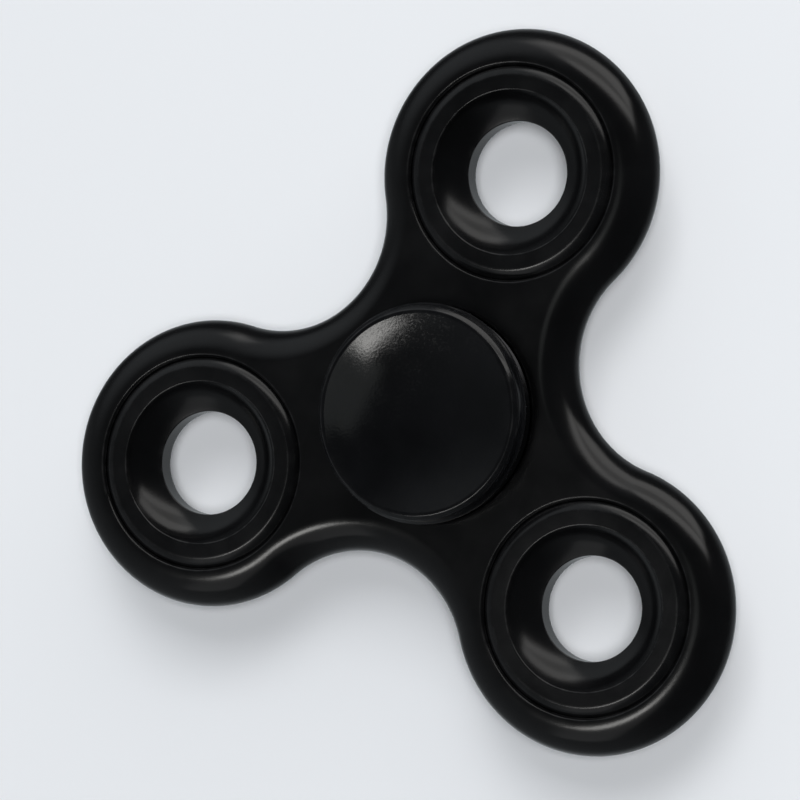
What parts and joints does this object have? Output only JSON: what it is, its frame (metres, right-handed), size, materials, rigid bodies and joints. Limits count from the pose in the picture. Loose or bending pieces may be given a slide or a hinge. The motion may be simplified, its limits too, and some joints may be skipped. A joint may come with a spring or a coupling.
{
  "type": "fidget spinner",
  "caption": "Three-arm fidget spinner: a rounded body with ring weights turns on a ball bearing between two dished thumb caps.",
  "frame": {"origin": "centre of the bearing, which is the centre of mass of the whole spinner", "axes": "+Z along the spin axis, out of the upper thumb cap; +Y towards arm A; X along the two lower arms' span"},
  "size_m": [0.0752, 0.0691, 0.0138],
  "materials": {
    "body_plastic": "black moulded plastic, satin gloss",
    "weight_coating": "black powder coat on steel, satin",
    "cap_plastic": "black moulded plastic, satin gloss",
    "bearing_steel": "black oxide on ground bearing steel",
    "ball_steel": "polished bearing balls",
    "cage_strip": "pressed steel strip",
    "shield_sheet": "pressed bright steel sheet",
    "spring_wire": "spring steel wire"
  },
  "bodies": {
    "hub": {"cap_upper": "cap_plastic", "cap_lower": "cap_plastic", "bearing_inner_ring": "bearing_steel"},
    "rotor": {"body_frame": "body_plastic", "counterweight_a": "weight_coating", "counterweight_b": "weight_coating", "counterweight_c": "weight_coating", "bearing_outer_ring": "bearing_steel", "shield_upper": "shield_sheet", "shield_lower": "shield_sheet", "snap_ring_upper": "spring_wire", "snap_ring_lower": "spring_wire"},
    "cage": {"cage_upper": "cage_strip", "cage_lower": "cage_strip", "cage_rivets": "cage_strip"},
    "ball_1": {"ball_1": "ball_steel"},
    "ball_2": {"ball_2": "ball_steel"},
    "ball_3": {"ball_3": "ball_steel"},
    "ball_4": {"ball_4": "ball_steel"},
    "ball_5": {"ball_5": "ball_steel"},
    "ball_6": {"ball_6": "ball_steel"},
    "ball_7": {"ball_7": "ball_steel"}
  },
  "joints": [
    {"name": "spin", "type": "hinge", "parent": "hub", "child": "rotor", "pos_m": [0, 0, 0], "axis": [0, 0, 1], "continuous": true},
    {"name": "cage_orbit", "type": "hinge", "parent": "hub", "child": "cage", "pos_m": [0, 0, 0], "axis": [0, 0, 1], "continuous": true},
    {"name": "ball_1_roll", "type": "hinge", "parent": "cage", "child": "ball_1", "pos_m": [0.0075, 0, 0], "axis": [0, 0, 1], "continuous": true},
    {"name": "ball_2_roll", "type": "hinge", "parent": "cage", "child": "ball_2", "pos_m": [0.00468, 0.00586, 0], "axis": [0, 0, 1], "continuous": true},
    {"name": "ball_3_roll", "type": "hinge", "parent": "cage", "child": "ball_3", "pos_m": [-0.00167, 0.00731, 0], "axis": [0, 0, 1], "continuous": true},
    {"name": "ball_4_roll", "type": "hinge", "parent": "cage", "child": "ball_4", "pos_m": [-0.00676, 0.00325, 0], "axis": [0, 0, 1], "continuous": true},
    {"name": "ball_5_roll", "type": "hinge", "parent": "cage", "child": "ball_5", "pos_m": [-0.00676, -0.00325, 0], "axis": [0, 0, 1], "continuous": true},
    {"name": "ball_6_roll", "type": "hinge", "parent": "cage", "child": "ball_6", "pos_m": [-0.00167, -0.00731, 0], "axis": [0, 0, 1], "continuous": true},
    {"name": "ball_7_roll", "type": "hinge", "parent": "cage", "child": "ball_7", "pos_m": [0.00468, -0.00586, 0], "axis": [0, 0, 1], "continuous": true}
  ],
  "couplings": [
    {"joint": "cage_orbit", "follows": "spin", "ratio": 0.6323},
    {"joint": "ball_1_roll", "follows": "spin", "ratio": 1.7574},
    {"joint": "ball_2_roll", "follows": "spin", "ratio": 1.7574},
    {"joint": "ball_3_roll", "follows": "spin", "ratio": 1.7574},
    {"joint": "ball_4_roll", "follows": "spin", "ratio": 1.7574},
    {"joint": "ball_5_roll", "follows": "spin", "ratio": 1.7574},
    {"joint": "ball_6_roll", "follows": "spin", "ratio": 1.7574},
    {"joint": "ball_7_roll", "follows": "spin", "ratio": 1.7574}
  ]
}
